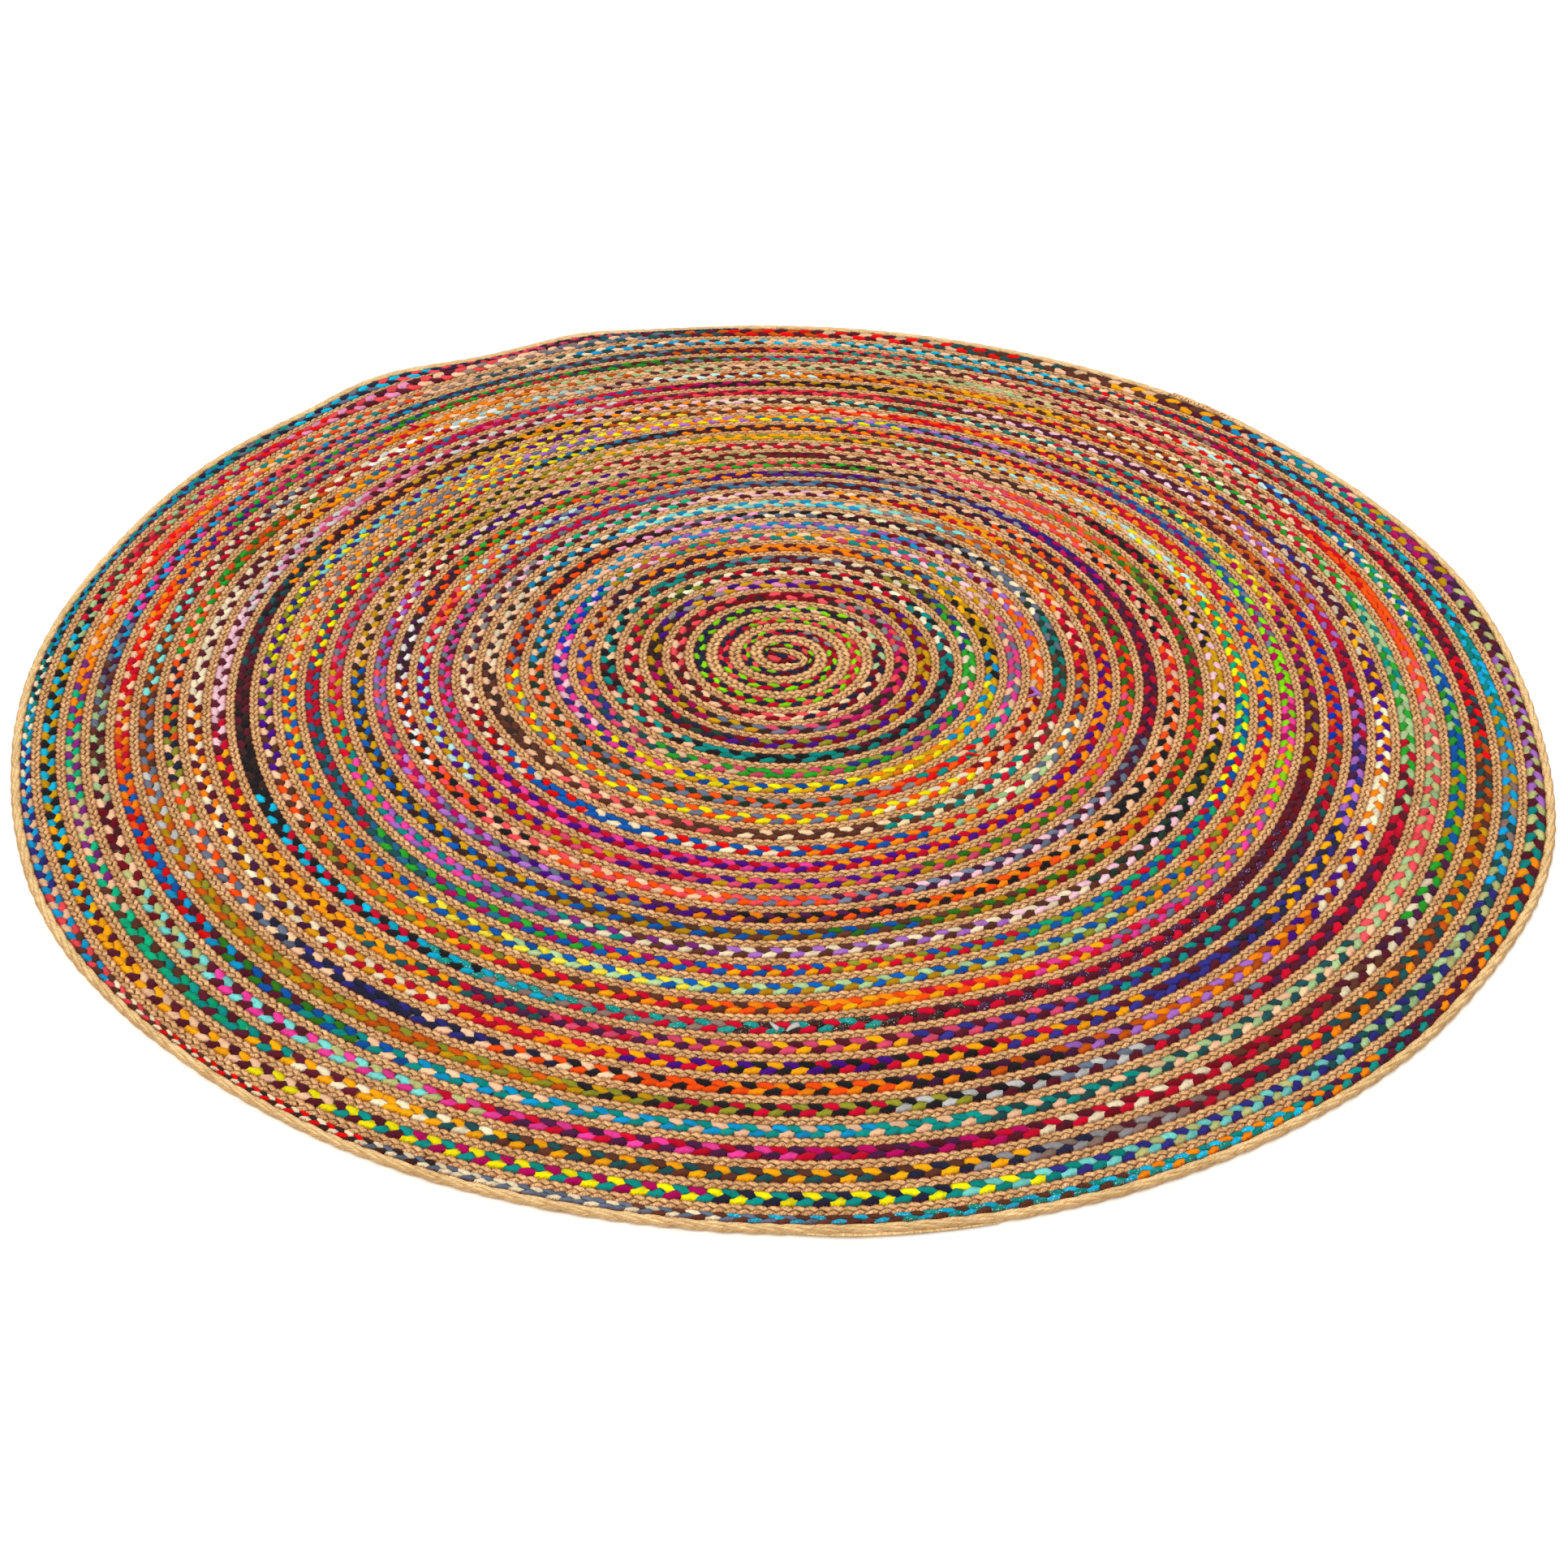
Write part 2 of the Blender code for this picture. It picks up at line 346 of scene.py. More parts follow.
def ringFaces(steps, sides, firstPoint):
    step = np.arange(steps - 1)[:, None] * sides + firstPoint
    side = np.arange(sides)[None, :]
    after = (side + 1) % sides
    ahead = step + sides
    quads = np.stack([step + side, step + after, ahead + after, ahead + side], axis=-1)
    return quads.reshape(-1, 4)


def meshFromRings(name, rings, colours, grains, material):
    points, faces, tints, lays = [], [], [], []
    first = 0
    for ring, colour, grain in zip(rings, colours, grains):
        steps, sides = ring.shape[:2]
        points.append(ring.reshape(-1, 3))
        tints.append(colour.reshape(-1, 4))
        lays.append(grain.reshape(-1, 4))
        faces += ringFaces(steps, sides, first).tolist()
        faces.append(list(range(first + sides - 1, first - 1, -1)))
        last = first + (steps - 1) * sides
        faces.append(list(range(last, last + sides)))
        first += steps * sides
    return buildMesh(name, np.vstack(points), faces, np.vstack(tints), np.vstack(lays), material)


def place(name, data):
    thing = bpy.data.objects.new(name, data)
    bpy.context.scene.collection.objects.link(thing)
    return thing


def buildMesh(name, points, faces, tints, lays, material):
    mesh = bpy.data.meshes.new(name)
    sizes = [len(face) for face in faces]
    corners = np.concatenate(faces).astype(np.int32)
    mesh.vertices.add(len(points))
    mesh.vertices.foreach_set("co", points.astype(np.float32).ravel())
    mesh.loops.add(len(corners))
    mesh.loops.foreach_set("vertex_index", corners)
    mesh.polygons.add(len(faces))
    mesh.polygons.foreach_set("loop_start", np.cumsum([0] + sizes[:-1]).astype(np.int32))
    mesh.polygons.foreach_set("use_smooth", np.ones(len(faces), dtype=bool))
    mesh.update(calc_edges=True)
    for label, values in (("yarn", tints), ("lay", lays)):
        if values is not None:
            layer = mesh.color_attributes.new(name=label, type="FLOAT_COLOR", domain="POINT")
            layer.data.foreach_set("color", values.astype(np.float32).ravel())
    mesh.materials.append(material)
    return place(name, mesh)


def linearColour(code):
    parts = [int(code[n:n + 2], 16) / 255.0 for n in (0, 2, 4)]
    return [p / 12.92 if p <= 0.04045 else ((p + 0.055) / 1.055) ** 2.4 for p in parts]


# The cloths' colours, as sRGB codes.
ragColours = dict(
    navy="23233a", black="1e1a1c", coffee="3a2420", brown="5b3325", maroon="5a1a28", wine="7a1420",
    crimson="c8102e", red="ee2b2b", coral="f4575c", rose="d8506e", hotPink="ef4a9a", pink="f09abf",
    palePink="f6c6d0", magenta="b3125c", plum="4a1c40", purple="7d2a7a", violet="4b1580",
    indigo="33307e", lilac="a86cc0", slate="6b7486", steel="2f6d8e", cobalt="1c57a5",
    royal="1636b0", azure="1795c9", cyan="12b5d8", aqua="7fdcd2", ice="bfe6df", teal="12887f",
    petrol="1f4d4f", emerald="12b07a", green="2f9e2f", forest="2f6e1c", pine="22392a",
    lime="86d60d", sage="a9c58c", olive="8c8a2c", khaki="b8b878", mustard="c8951a",
    yellow="f2e216", lemon="f6e24a", golden="fba81c", orange="ff8a10", flame="ff5418",
    rust="c4561c", peach="f3c29a", cream="efdcb8", white="f2efe8", ash="c5c2bc", grey="8a8585",
    taupe="8d7469",
)

# The strips in the order in which they are plaited in. A comma ends a quarter of a turn, and a
# semicolon a turn, the first of which is turn -1. A star marks cloth with white flecks.
ragStrips = """
navy wine, coral navy, wine lime, navy coral wine;
lime navy wine navy, plum lime navy coral, navy lime coral navy, crimson navy grey wine;
crimson lime navy, crimson lime navy coral, crimson navy navy crimson lime, coral navy lime coral;
crimson lime coral navy, lime crimson navy lime, navy navy lime plum navy, peach lime navy coffee
peach sage;
wine navy peach, coral wine coffee peach, wine coral coffee wine, wine coral coffee grey magenta;
coral coffee magenta coffee rose, slate coffee mustard magenta coffee, mustard coffee violet grey
mustard pink, violet mustard wine violet mustard;
wine mustard violet wine olive, violet wine navy pine crimson peach, coffee crimson olive pine
cream crimson, black cream crimson black cream teal;
maroon teal black maroon teal black, teal black teal peach wine teal, black peach teal maroon teal
maroon, slate maroon cream coffee olive indigo green;
cream green rose indigo olive green, rose green peach petrol rose indigo, orange peach maroon navy
orange maroon, orange orange maroon steel golden mustard black;
mustard azure yellow orange mustard yellow, cobalt mustard yellow hotPink indigo palePink, hotPink
royal teal palePink mustard rose teal, peach golden rose teal palePink mustard peach rose;
slate hotPink peach teal red flame grey, pine flame slate pine flame peach, pine azure peach peach
azure lilac, peach azure lilac wine peach lilac flame;
orange peach wine flame cream yellow flame, slate yellow flame slate yellow flame, slate maroon
flame black maroon pink slate, black cream maroon black slate cream slate pine;
teal brown crimson cream teal brown peach, brown brown coral peach brown brown coffee, peach cream
coffee azure cream aqua, azure peach aqua grey rust orange peach crimson;
wine orange slate cream sage crimson orange cobalt, red cream cobalt cobalt red cream maroon,
peach grey maroon palePink emerald maroon palePink, peach maroon orange crimson golden brown
crimson;
orange violet orange crimson violet orange crimson, violet hotPink crimson violet hotPink crimson
slate, hotPink maroon slate crimson magenta steel slate, maroon steel maroon peach navy flame
maroon crimson;
forest flame rose mustard forest rose mustard, violet rose crimson mustard violet ice, crimson
coral orange ice violet slate orange plum, violet slate maroon grey indigo violet magenta plum
maroon;
crimson plum maroon slate palePink plum slate, coral flame peach coral black flame white, plum
coffee flame green brown coral, green brown black peach coral flame peach black crimson;
peach flame black peach black orange flame black, plum orange violet slate lilac magenta coral
slate, lilac crimson cream coffee violet peach khaki wine, brown maroon peach rose coral flame
olive forest brown;
crimson forest flame wine mustard forest brown, cobalt mustard brown cobalt mustard coffee cobalt
mustard, coffee peach mustard coffee olive peach crimson brown, peach crimson brown peach coffee
crimson black mustard;
palePink mustard black pine palePink brown cream lilac, brown cream purple teal lilac hotPink teal
mustard crimson, rose slate crimson pine mustard peach olive golden, golden olive maroon ice
golden peach ice yellow flame;
emerald yellow cobalt crimson emerald cobalt olive crimson, golden cobalt magenta green steel
petrol crimson steel, crimson yellow petrol crimson yellow steel black maroon, orange coffee
crimson maroon orange crimson crimson golden;
cobalt golden crimson orange olive cobalt sage mustard, cobalt sage lemon cobalt mustard flame
cobalt lemon, flame peach grey orange slate yellow lilac orange, yellow steel lilac maroon slate
magenta cobalt slate lime;
magenta lime hotPink golden slate hotPink crimson golden flame, orange brown crimson golden olive
flame brown peach violet, olive yellow indigo aqua golden violet lemon brown rust, peach red flame
crimson golden maroon teal lemon mustard magenta;
plum mustard maroon wine maroon plum* maroon crimson plum* maroon crimson coffee*, teal* crimson
taupe teal* cyan black crimson cyan black black coffee maroon, maroon petrol black orange maroon
coffee mustard black orange palePink brown, cream brown teal maroon cream teal crimson maroon
rust* maroon rust crimson;
royal rust crimson petrol maroon plum teal maroon indigo rose maroon, golden rose plum crimson
petrol golden orange maroon golden crimson maroon palePink, palePink maroon ash pink rose maroon
ash rose crimson maroon, coral crimson brown maroon palePink plum maroon palePink rust lilac
crimson;
crimson plum lilac indigo golden navy indigo maroon indigo golden crimson black, violet golden
crimson orange crimson cream golden plum cream orange maroon cream, cream maroon cream maroon
orange golden steel magenta crimson rose steel crimson magenta maroon, black mustard coffee golden
crimson maroon golden rust indigo maroon cream plum;
golden violet cream orange cream violet rust orange lilac rust plum black orange, flame black
flame peach navy indigo navy peach slate flame peach olive navy flame, peach green flame forest
rust cream crimson white orange ice taupe peach maroon ice, rust orange maroon rust mustard golden
brown rust cream maroon green cream crimson green sage teal;
sage green sage crimson maroon crimson plum maroon crimson slate maroon ash black olive, crimson
black olive mustard rust olive rust mustard olive rust mustard ash rust slate brown rust, aqua
brown crimson cream maroon slate crimson orange orange peach rust sage peach brown, peach sage
brown sage khaki peach maroon crimson coral brown peach crimson red flame flame flame;
coral peach sage coral khaki coral sage peach petrol sage peach petrol teal peach teal, azure
peach teal azure peach teal cobalt forest maroon azure red cobalt flame orange crimson peach, red
flame orange indigo magenta green rose indigo forest green crimson petrol green maroon forest
slate, crimson teal maroon peach brown crimson peach maroon cream red ice maroon cobalt teal cream
green cobalt;
sage cobalt green cobalt mustard green plum cream maroon brown crimson wine cream crimson maroon
magenta plum, crimson hotPink plum crimson hotPink khaki aqua hotPink maroon aqua khaki wine peach
maroon sage brown slate, plum azure hotPink maroon azure coral maroon coral azure plum petrol
steel maroon slate petrol maroon rust, maroon coral teal brown azure maroon brown taupe magenta
brown crimson taupe crimson wine maroon crimson;
maroon red petrol rust brown mustard rust petrol brown orange petrol crimson maroon taupe grey
navy golden brown, petrol golden brown petrol golden cream golden maroon teal emerald brown
emerald peach purple khaki emerald purple orange, orange peach red flame coral orange peach teal
flame peach taupe peach petrol cream azure brown peach, cyan peach petrol cyan peach petrol red
plum petrol cyan plum teal cyan;
teal azure mustard taupe azure petrol khaki indigo sage petrol indigo aqua khaki indigo aqua teal
yellow navy, teal yellow magenta teal yellow maroon peach golden maroon golden cyan black mustard
cyan, black sage crimson brown coral sage magenta red coral pink maroon coral peach taupe peach
slate petrol maroon rust, red maroon peach red petrol brown peach brown golden maroon azure peach
teal magenta mustard purple plum khaki;
maroon lilac khaki maroon teal orange maroon plum teal orange cyan* teal* brown cyan*, brown slate
cream slate cream coffee red cream brown coral azure peach indigo azure cream teal, navy azure
teal plum azure teal navy slate cyan navy coral plum rose coffee steel navy
"""


# The strips of each strand: where each one starts, in turns, its colour and its flecks. The three
# strands take them in turn, each one and a half places early, so that lobes show where it is named.
def dealStrips():
    strands = [[], [], []]
    dealt = 0
    for turn, line in enumerate(ragStrips.split(";"), start=-1):
        for quarter, names in enumerate(line.split(",")):
            strips = names.split()
            for n, name in enumerate(strips):
                start = turn + (quarter + (n - 1.5) / len(strips)) / 4.0
                colour = linearColour(ragColours[name.strip("*")])
                strands[dealt % 3].append((start, colour, float(name.endswith("*"))))
                dealt += 1
    return strands


ragDye = {
    "seed": 70,
    "stripShade": 0.10,          # how much the strips differ, and the lobes of each
    "lobeShade": 0.09,
    "shadeLimits": (0.7, 1.35),
    "palest": 0.98,
}


def stripColours(strips, turns, lobes, rng):
    starts, colours, flecked = (np.array(column) for column in zip(*strips))
    firstOfLobe, repeats = np.unique(lobes, return_index=True, return_counts=True)[1:]
    which = np.maximum(np.searchsorted(starts, turns[firstOfLobe], side="right") - 1, 0)
    perStrip = 1.0 + ragDye["stripShade"] * rng.standard_normal(len(starts))
    shade = perStrip[which] * (1.0 + ragDye["lobeShade"] * rng.standard_normal(len(which)))
    shade = np.clip(shade, *ragDye["shadeLimits"])
    perLobe = np.clip(colours[which] * shade[:, None], 0.0, ragDye["palest"])
    perLobe = np.concatenate([perLobe, flecked[which][:, None]], axis=1)
    return np.repeat(perLobe, repeats, axis=0)


def newMaterial(name, roughness, shine=0.12):
    material = bpy.data.materials.new(name)
    material.use_nodes = True
    shader = material.node_tree.nodes["Principled BSDF"]
    shader.inputs["Roughness"].default_value = roughness
    shader.inputs["Specular IOR Level"].default_value = shine
    return material, material.node_tree.nodes, material.node_tree.links, shader


def addAttribute(nodes, name):
    attribute = nodes.new("ShaderNodeAttribute")
    attribute.attribute_name = name
    return attribute.outputs


def addCoords(nodes):
    return nodes.new("ShaderNodeTexCoord").outputs["Object"]


def addNoise(nodes, links, vector, scale, detail=3.0, rough=0.6):
    noise = nodes.new("ShaderNodeTexNoise")
    noise.inputs["Scale"].default_value = scale
    noise.inputs["Detail"].default_value = detail
    noise.inputs["Roughness"].default_value = rough
    links.new(vector, noise.inputs["Vector"])
    return noise.outputs["Fac"]


def addRamp(nodes, links, value, stops, colours):
    ramp = nodes.new("ShaderNodeValToRGB")
    elements = ramp.color_ramp.elements
    while len(elements) < len(stops):
        elements.new(0.5)
    for element, stop, colour in zip(elements, stops, colours):
        element.position = stop
        element.color = (*colour, 1.0)
    links.new(value, ramp.inputs["Fac"])
    return ramp.outputs["Color"]


def addMix(nodes, links, first, second, dataType="RGBA", blend="MIX", share=1.0):
    mix = nodes.new("ShaderNodeMix")
    mix.data_type = dataType
    mix.blend_type = blend
    mix.inputs["Factor"].default_value = share
    links.new(first, mix.inputs["A"])
    links.new(second, mix.inputs["B"])
    return mix.outputs["Result"]


def multiply(nodes, links, first, *others):
    for other in others:
        first = addMix(nodes, links, first, other, blend="MULTIPLY")
    return first


white = (1.0, 1.0, 1.0)
juteLook = {
    "pale": (0.99, 0.70, 0.375),
    "golden": (0.76, 0.42, 0.165),
    "dark": (0.37, 0.14, 0.045),
    "tones": (0.34, 0.48, 0.62),         # of the fibre noise, where it is dark, golden and pale
    # painted shade: its colour, where it fades out across a strand, and the heights it fades over
    "paintedShade": (0.25, 0.085, 0.04),
    "crease": (0.12, 0.50),
    "shadeHeights": (0.0032, 0.0054),
    "fibresAcross": 5.0,
    "fibresAlong": 120.0,
    "twist": 0.0,
    "fuzzScale": 900.0,
    "fuzzShare": 0.4,
    "patchScale": 24.0,
    "patchSpan": (0.35, 0.60),
    "patchColour": (0.84, 0.80, 0.76),
    "roughness": 0.82,
    "bump": (0.45, 0.0009),
}


# Where a point lies on its strand: across it from edge to ridge, and along it, for the fibres.
def strandGrain(nodes, links, acrossScale, alongScale, twist):
    lay = addAttribute(nodes, "lay")
    stretch = nodes.new("ShaderNodeVectorMath")
    stretch.operation = "MULTIPLY"
    links.new(lay["Vector"], stretch.inputs[0])
    stretch.inputs[1].default_value = (acrossScale, alongScale, 1.0)
    split = nodes.new("ShaderNodeSeparateXYZ")
    links.new(stretch.outputs["Vector"], split.inputs["Vector"])
    slant = nodes.new("ShaderNodeMath")
    slant.operation = "MULTIPLY_ADD"
    links.new(split.outputs["Y"], slant.inputs[0])
    slant.inputs[1].default_value = twist
    links.new(split.outputs["Z"], slant.inputs[2])
    grain = nodes.new("ShaderNodeCombineXYZ")
    links.new(split.outputs["X"], grain.inputs["X"])
    links.new(split.outputs["Y"], grain.inputs["Y"])
    links.new(slant.outputs["Value"], grain.inputs["Z"])
    return lay["Color"], grain.outputs["Vector"]


# Painted shade: darker along a strand's sides, where it lies on the next one, and low down between
# the lobes.
def creaseShade(nodes, links, lay, look):
    parts = nodes.new("ShaderNodeSeparateColor")
    links.new(lay, parts.inputs["Color"])
    sides = addRamp(nodes, links, parts.outputs["Red"], look["crease"], (look["paintedShade"], white))
    split = nodes.new("ShaderNodeSeparateXYZ")
    links.new(addCoords(nodes), split.inputs["Vector"])
    depth = nodes.new("ShaderNodeMapRange")
    depth.inputs["From Min"].default_value = look["shadeHeights"][0]
    depth.inputs["From Max"].default_value = look["shadeHeights"][1]
    links.new(split.outputs["Z"], depth.inputs["Value"])
    low = addRamp(nodes, links, depth.outputs["Result"], (0.0, 1.0), (look["paintedShade"], white))
    return multiply(nodes, links, sides, low)


def addBump(nodes, links, height, shader, strength, distance):
    bump = nodes.new("ShaderNodeBump")
    bump.inputs["Strength"].default_value = strength
    bump.inputs["Distance"].default_value = distance
    links.new(height, bump.inputs["Height"])
    links.new(bump.outputs["Normal"], shader.inputs["Normal"])


# Jute: pale and golden fibres that run along each strand, and painted shade, dark brown, in the
# gaps between lobes.
def juteMaterial(name, look):
    material, nodes, links, shader = newMaterial(name, look["roughness"])
    coords = addCoords(nodes)
    lay, grain = strandGrain(nodes, links, look["fibresAcross"], look["fibresAlong"], look["twist"])
    fibres = addNoise(nodes, links, grain, 1.0, rough=0.7)
    fuzz = addNoise(nodes, links, coords, look["fuzzScale"], rough=0.7)
    patches = addNoise(nodes, links, coords, look["patchScale"], detail=2.0)
    blend = addMix(nodes, links, fibres, fuzz, dataType="FLOAT", share=look["fuzzShare"])
    colours = [look[colour] for colour in ("dark", "golden", "pale")]
    tones = addRamp(nodes, links, blend, look["tones"], colours)
    shade = addRamp(nodes, links, patches, look["patchSpan"], (look["patchColour"], white))
    crease = creaseShade(nodes, links, lay, look)
    colour = multiply(nodes, links, tones, addAttribute(nodes, "yarn")["Color"], shade, crease)
    links.new(colour, shader.inputs["Base Color"])
    addBump(nodes, links, blend, shader, *look["bump"])
    return material


ragLook = {
    "roughness": 0.88,
    "sheen": 0.02,
    "saturation": 1.03,
    # painted shade: its colour, where it fades out across a strand, and the heights it fades over
    "paintedShade": (0.46, 0.36, 0.36),
    "crease": (0.12, 0.40),
    "shadeHeights": (0.0034, 0.0058),
    "puckersAcross": 2.2,
    "puckersAlong": 150.0,
    # where the puckers' hollows get their painted shade, and its colour
    "puckerSpan": (0.30, 0.50),
    "puckerShade": (0.78, 0.78, 0.78),
    "mottleScale": 420.0,
    "mottleSpan": (0.30, 0.58),
    "mottleColour": (0.80, 0.80, 0.80),
    "fleckScale": 620.0,
    "fleckSpan": (0.64, 0.66),
    "fleckColour": (0.80, 0.78, 0.74),
    "bump": (0.5, 0.0012),
}


# Cotton jersey: matt, slightly mottled, puckered along each strand, with painted shade in the
# puckers' hollows and between the lobes, and white flecks on a few.
def ragMaterial(look):
    material, nodes, links, shader = newMaterial("rag_cotton", look["roughness"])
    shader.inputs["Sheen Weight"].default_value = look["sheen"]
    coords = addCoords(nodes)
    lay, grain = strandGrain(nodes, links, look["puckersAcross"], look["puckersAlong"], 0.0)
    yarn = addAttribute(nodes, "yarn")
    dye = nodes.new("ShaderNodeHueSaturation")
    dye.inputs["Saturation"].default_value = look["saturation"]
    links.new(yarn["Color"], dye.inputs["Color"])
    puckers = addNoise(nodes, links, grain, 1.0, detail=2.0)
    mottle = addNoise(nodes, links, coords, look["mottleScale"])
    shade = addRamp(nodes, links, mottle, look["mottleSpan"], (look["mottleColour"], white))
    # painted shade in the puckers' hollows, darker where the bump is low
    foldShade = addRamp(nodes, links, puckers, look["puckerSpan"], (look["puckerShade"], white))
    crease = creaseShade(nodes, links, lay, look)
    cloth = multiply(nodes, links, dye.outputs["Color"], shade, foldShade, crease)
    specks = addNoise(nodes, links, coords, look["fleckScale"], detail=2.0)
    speckMask = addRamp(nodes, links, specks, look["fleckSpan"], ((0.0, 0.0, 0.0), white))
    flecked = nodes.new("ShaderNodeMath")
    flecked.operation = "MULTIPLY"
    links.new(speckMask, flecked.inputs[0])
    links.new(yarn["Alpha"], flecked.inputs[1])
    mix = nodes.new("ShaderNodeMix")
    mix.data_type = "RGBA"
    links.new(flecked.outputs["Value"], mix.inputs["Factor"])
    links.new(cloth, mix.inputs["A"])
    mix.inputs["B"].default_value = (*look["fleckColour"], 1.0)
    links.new(mix.outputs["Result"], shader.inputs["Base Color"])
    addBump(nodes, links, puckers, shader, *look["bump"])
    return material


threadLook = {
    "dark": (0.46, 0.035, 0.026),
    "pale": (0.66, 0.085, 0.055),
    "wearScale": 180.0,
    "wearSpan": (0.35, 0.65),
    "roughness": 0.6,
}


def threadMaterial(look):
    material, nodes, links, shader = newMaterial("red_thread", look["roughness"])
    wear = addNoise(nodes, links, addCoords(nodes), look["wearScale"], detail=2.0)
    colour = addRamp(nodes, links, wear, look["wearSpan"], (look["dark"], look["pale"]))
    links.new(colour, shader.inputs["Base Color"])
    return material


# "lobe" is one lobe, section by section, as its strand comes up, crosses the top and dives. Each
# section has a corner near the braid's middle, one on the ridge and one near the seam, in paces
# along the braid and half widths across it, then its rise, and how much light reaches each corner.
jute = {
    "seed": 11,
    "period": 0.0385,
    "fullWidth": 0.0125,
    "periodPower": -0.3,
    "unevenEvery": 0.16,
    "unevenShare": 0.06,
    "lobe": (
        ((-0.56, -0.10), (-0.28, 0.38), (-0.10, 1.04), 0.0005, (0.0, 0.5, 0.0)),
        ((-0.15, -0.36), (0.14, 0.42), (0.40, 1.04), 0.0012, (0.1, 1.0, 0.2)),
        ((0.26, -0.06), (0.54, 0.48), (0.88, 1.04), 0.0002, (0.0, 0.5, 0.0)),
        ((0.84, -0.15), (0.86, 0.15), (0.88, 0.45), -0.0028, (0.0, 0.0, 0.0)),
    ),
    "seamFrom": 0.9,             # corners at least this far across stay at the seam
    "fatNoise": 0.10,
    "longNoise": 0.05,
    "placeNoise": 0.03,
    "highNoise": 0.12,
    "midHeight": 0.0045,
    "crown": 0.0017,
    "skirt": -0.0001,
    "toneSpread": 0.07,
    "toneLimits": (0.7, 1.25),
}

rag = {
    "seed": 21,
    "period": 0.0455,
    "fullWidth": 0.0175,
    "periodPower": 0.45,
    "unevenEvery": 0.20,
    "unevenShare": 0.07,
    "lobe": (
        ((-0.50, -0.12), (-0.28, 0.36), (-0.20, 1.02), 0.0009, (0.0, 0.7, 0.1)),
        ((-0.12, -0.42), (0.12, 0.42), (0.30, 1.04), 0.0015, (0.0, 1.0, 0.3)),
        ((0.28, -0.10), (0.50, 0.48), (0.78, 1.02), 0.0005, (0.0, 0.7, 0.1)),
        ((0.82, -0.15), (0.85, 0.15), (0.88, 0.45), -0.0026, (0.0, 0.0, 0.0)),
    ),
    "seamFrom": 0.9,
    "fatNoise": 0.14,
    "longNoise": 0.08,
    "placeNoise": 0.04,
    "highNoise": 0.14,
    "midHeight": 0.0050,
    "crown": 0.0023,
    "skirt": -0.0005,
}


# Across the strand: 0 at its edges and 1 on its ridge; the lower, the more painted shade. Along it:
# metres. The last number gives each strand fibres of its own.
def strandLay(along, ridges, strand):
    lay = np.ones((len(along), len(ridges), 4))
    lay[:, :, 0] = np.array(ridges)[None, :]
    lay[:, :, 1] = along[:, None]
    lay[:, :, 2] = 3.7 * strand
    return lay


# The plait's strands take how much light reaches each corner as their across value, for the painted
# shade.
def plaitLay(strand):
    lay = strandLay(strand["along"], (0.0, 1.0, 0.0), strand["strand"])
    lay[:, :, 0] = strand["lit"]
    return lay


def pieceTurns():
    return enumerate(zip(plait["pieces"], plait["pieces"][1:]), start=1)


def plaitPieces(name, band, look, dyed, material):
    made = []
    for n, (first, last) in pieceTurns():
        strands = plaitStrands(band, look, first, last)
        rings = [strand["rings"] for strand in strands]
        colours = [dyed(strand) for strand in strands]
        grains = [plaitLay(strand) for strand in strands]
        made.append(meshFromRings(f"{name}_{n}", rings, colours, grains, material))
    return made


def juteBraid(band):
    def dyed(strand):
        tone = np.clip(1.0 + jute["toneSpread"] * strand["tone"], *jute["toneLimits"])
        tint = np.ones((len(tone), 3, 4))
        tint[:, :, :3] *= tone[:, None, None]
        return tint

    return plaitPieces("jute_plait", band, jute, dyed, juteMaterial("jute_fibre", juteLook))


def ragBraid(band):
    strips = dealStrips()

    def dyed(strand):
        rng = np.random.default_rng(ragDye["seed"] + strand["strand"])
        turns = np.interp(strand["along"], band["along"], band["turns"])
        perStep = stripColours(strips[strand["strand"]], turns, strand["lobe"], rng)
        return np.repeat(perStep[:, None, :], 3, axis=1)

    return plaitPieces("rag_plait", band, rag, dyed, ragMaterial(ragLook))


edge = {
    "seed": 5,
    "period": 0.090,
    "steps": 16,
    "sides": 6,
    "jointDegrees": 51.0,
    "jointStep": 0.0045,
    "jointSpread": 7.0,
    "jointGap": 0.0006,          # share of the way round
    "lean": 0.0024,
    "rise": 0.0014,
    "strandWide": 0.0082,
    "strandThick": 0.0064,
    "fatWave": 0.05,
    "fatWaves": 0.37,            # a lobe
    "fatNoise": 0.03,
    "waves": (dict(size=0.35, round=17.0, start=1.0), dict(size=0.25, round=41.0, start=0.0)),
    "midHeight": 0.0046,
    "lowest": 0.0002,
    "grainRound": 2.4,
}
edgeLook = {
    "pale": (0.99, 0.79, 0.45),
    "golden": (0.82, 0.53, 0.22),
    "dark": (0.42, 0.19, 0.07),
    "twist": 4.0,
    "fibresAcross": 0.0,
    "fibresAlong": 70.0,
    "crease": (0.0, 0.42),
    "shadeHeights": (-0.006, 0.0010),
}


